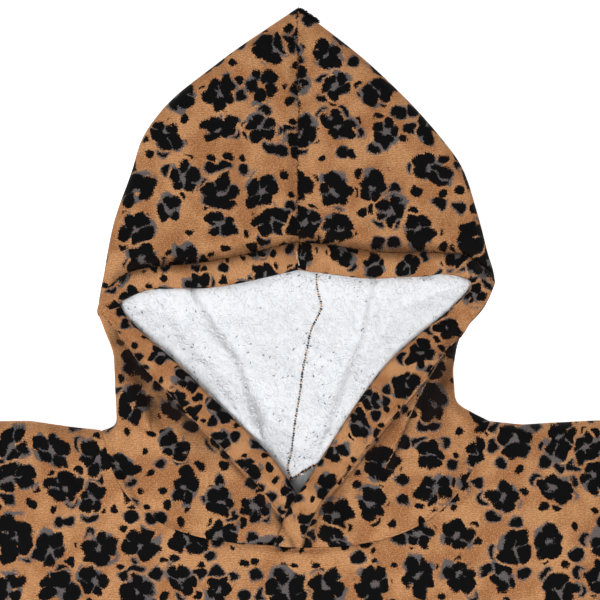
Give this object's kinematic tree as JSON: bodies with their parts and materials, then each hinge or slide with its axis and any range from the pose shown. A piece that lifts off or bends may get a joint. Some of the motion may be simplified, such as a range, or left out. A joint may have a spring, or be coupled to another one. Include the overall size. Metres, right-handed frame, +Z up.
{
  "type": "wearable blanket hoodie",
  "caption": "Oversized pullover blanket with a peaked hood, laid flat on its back with the front up and the hood open over its fleecy lining.",
  "frame": {"origin": "on the floor, under the middle of the garment's outline", "axes": "+X to the right as the garment is seen from above, across both sleeves; +Y from the bottom hem to the tip of the hood; +Z up from the back of the garment to its front"},
  "size_m": [1.676, 1.23, 0.0334],
  "materials": {
    "printed_fleece": "short soft nap, printed with leopard spots",
    "sherpa": "curly white pile"
  },
  "bodies": {
    "root": {"back_lining": "sherpa", "body_back": "printed_fleece", "body_front": "printed_fleece", "hood_hem_left": "printed_fleece", "hood_hem_right": "printed_fleece", "hood_left": "printed_fleece", "hood_lining_left": "sherpa", "hood_lining_right": "sherpa", "hood_right": "printed_fleece", "sleeve_left": "printed_fleece", "sleeve_right": "printed_fleece"}
  },
  "joints": []
}
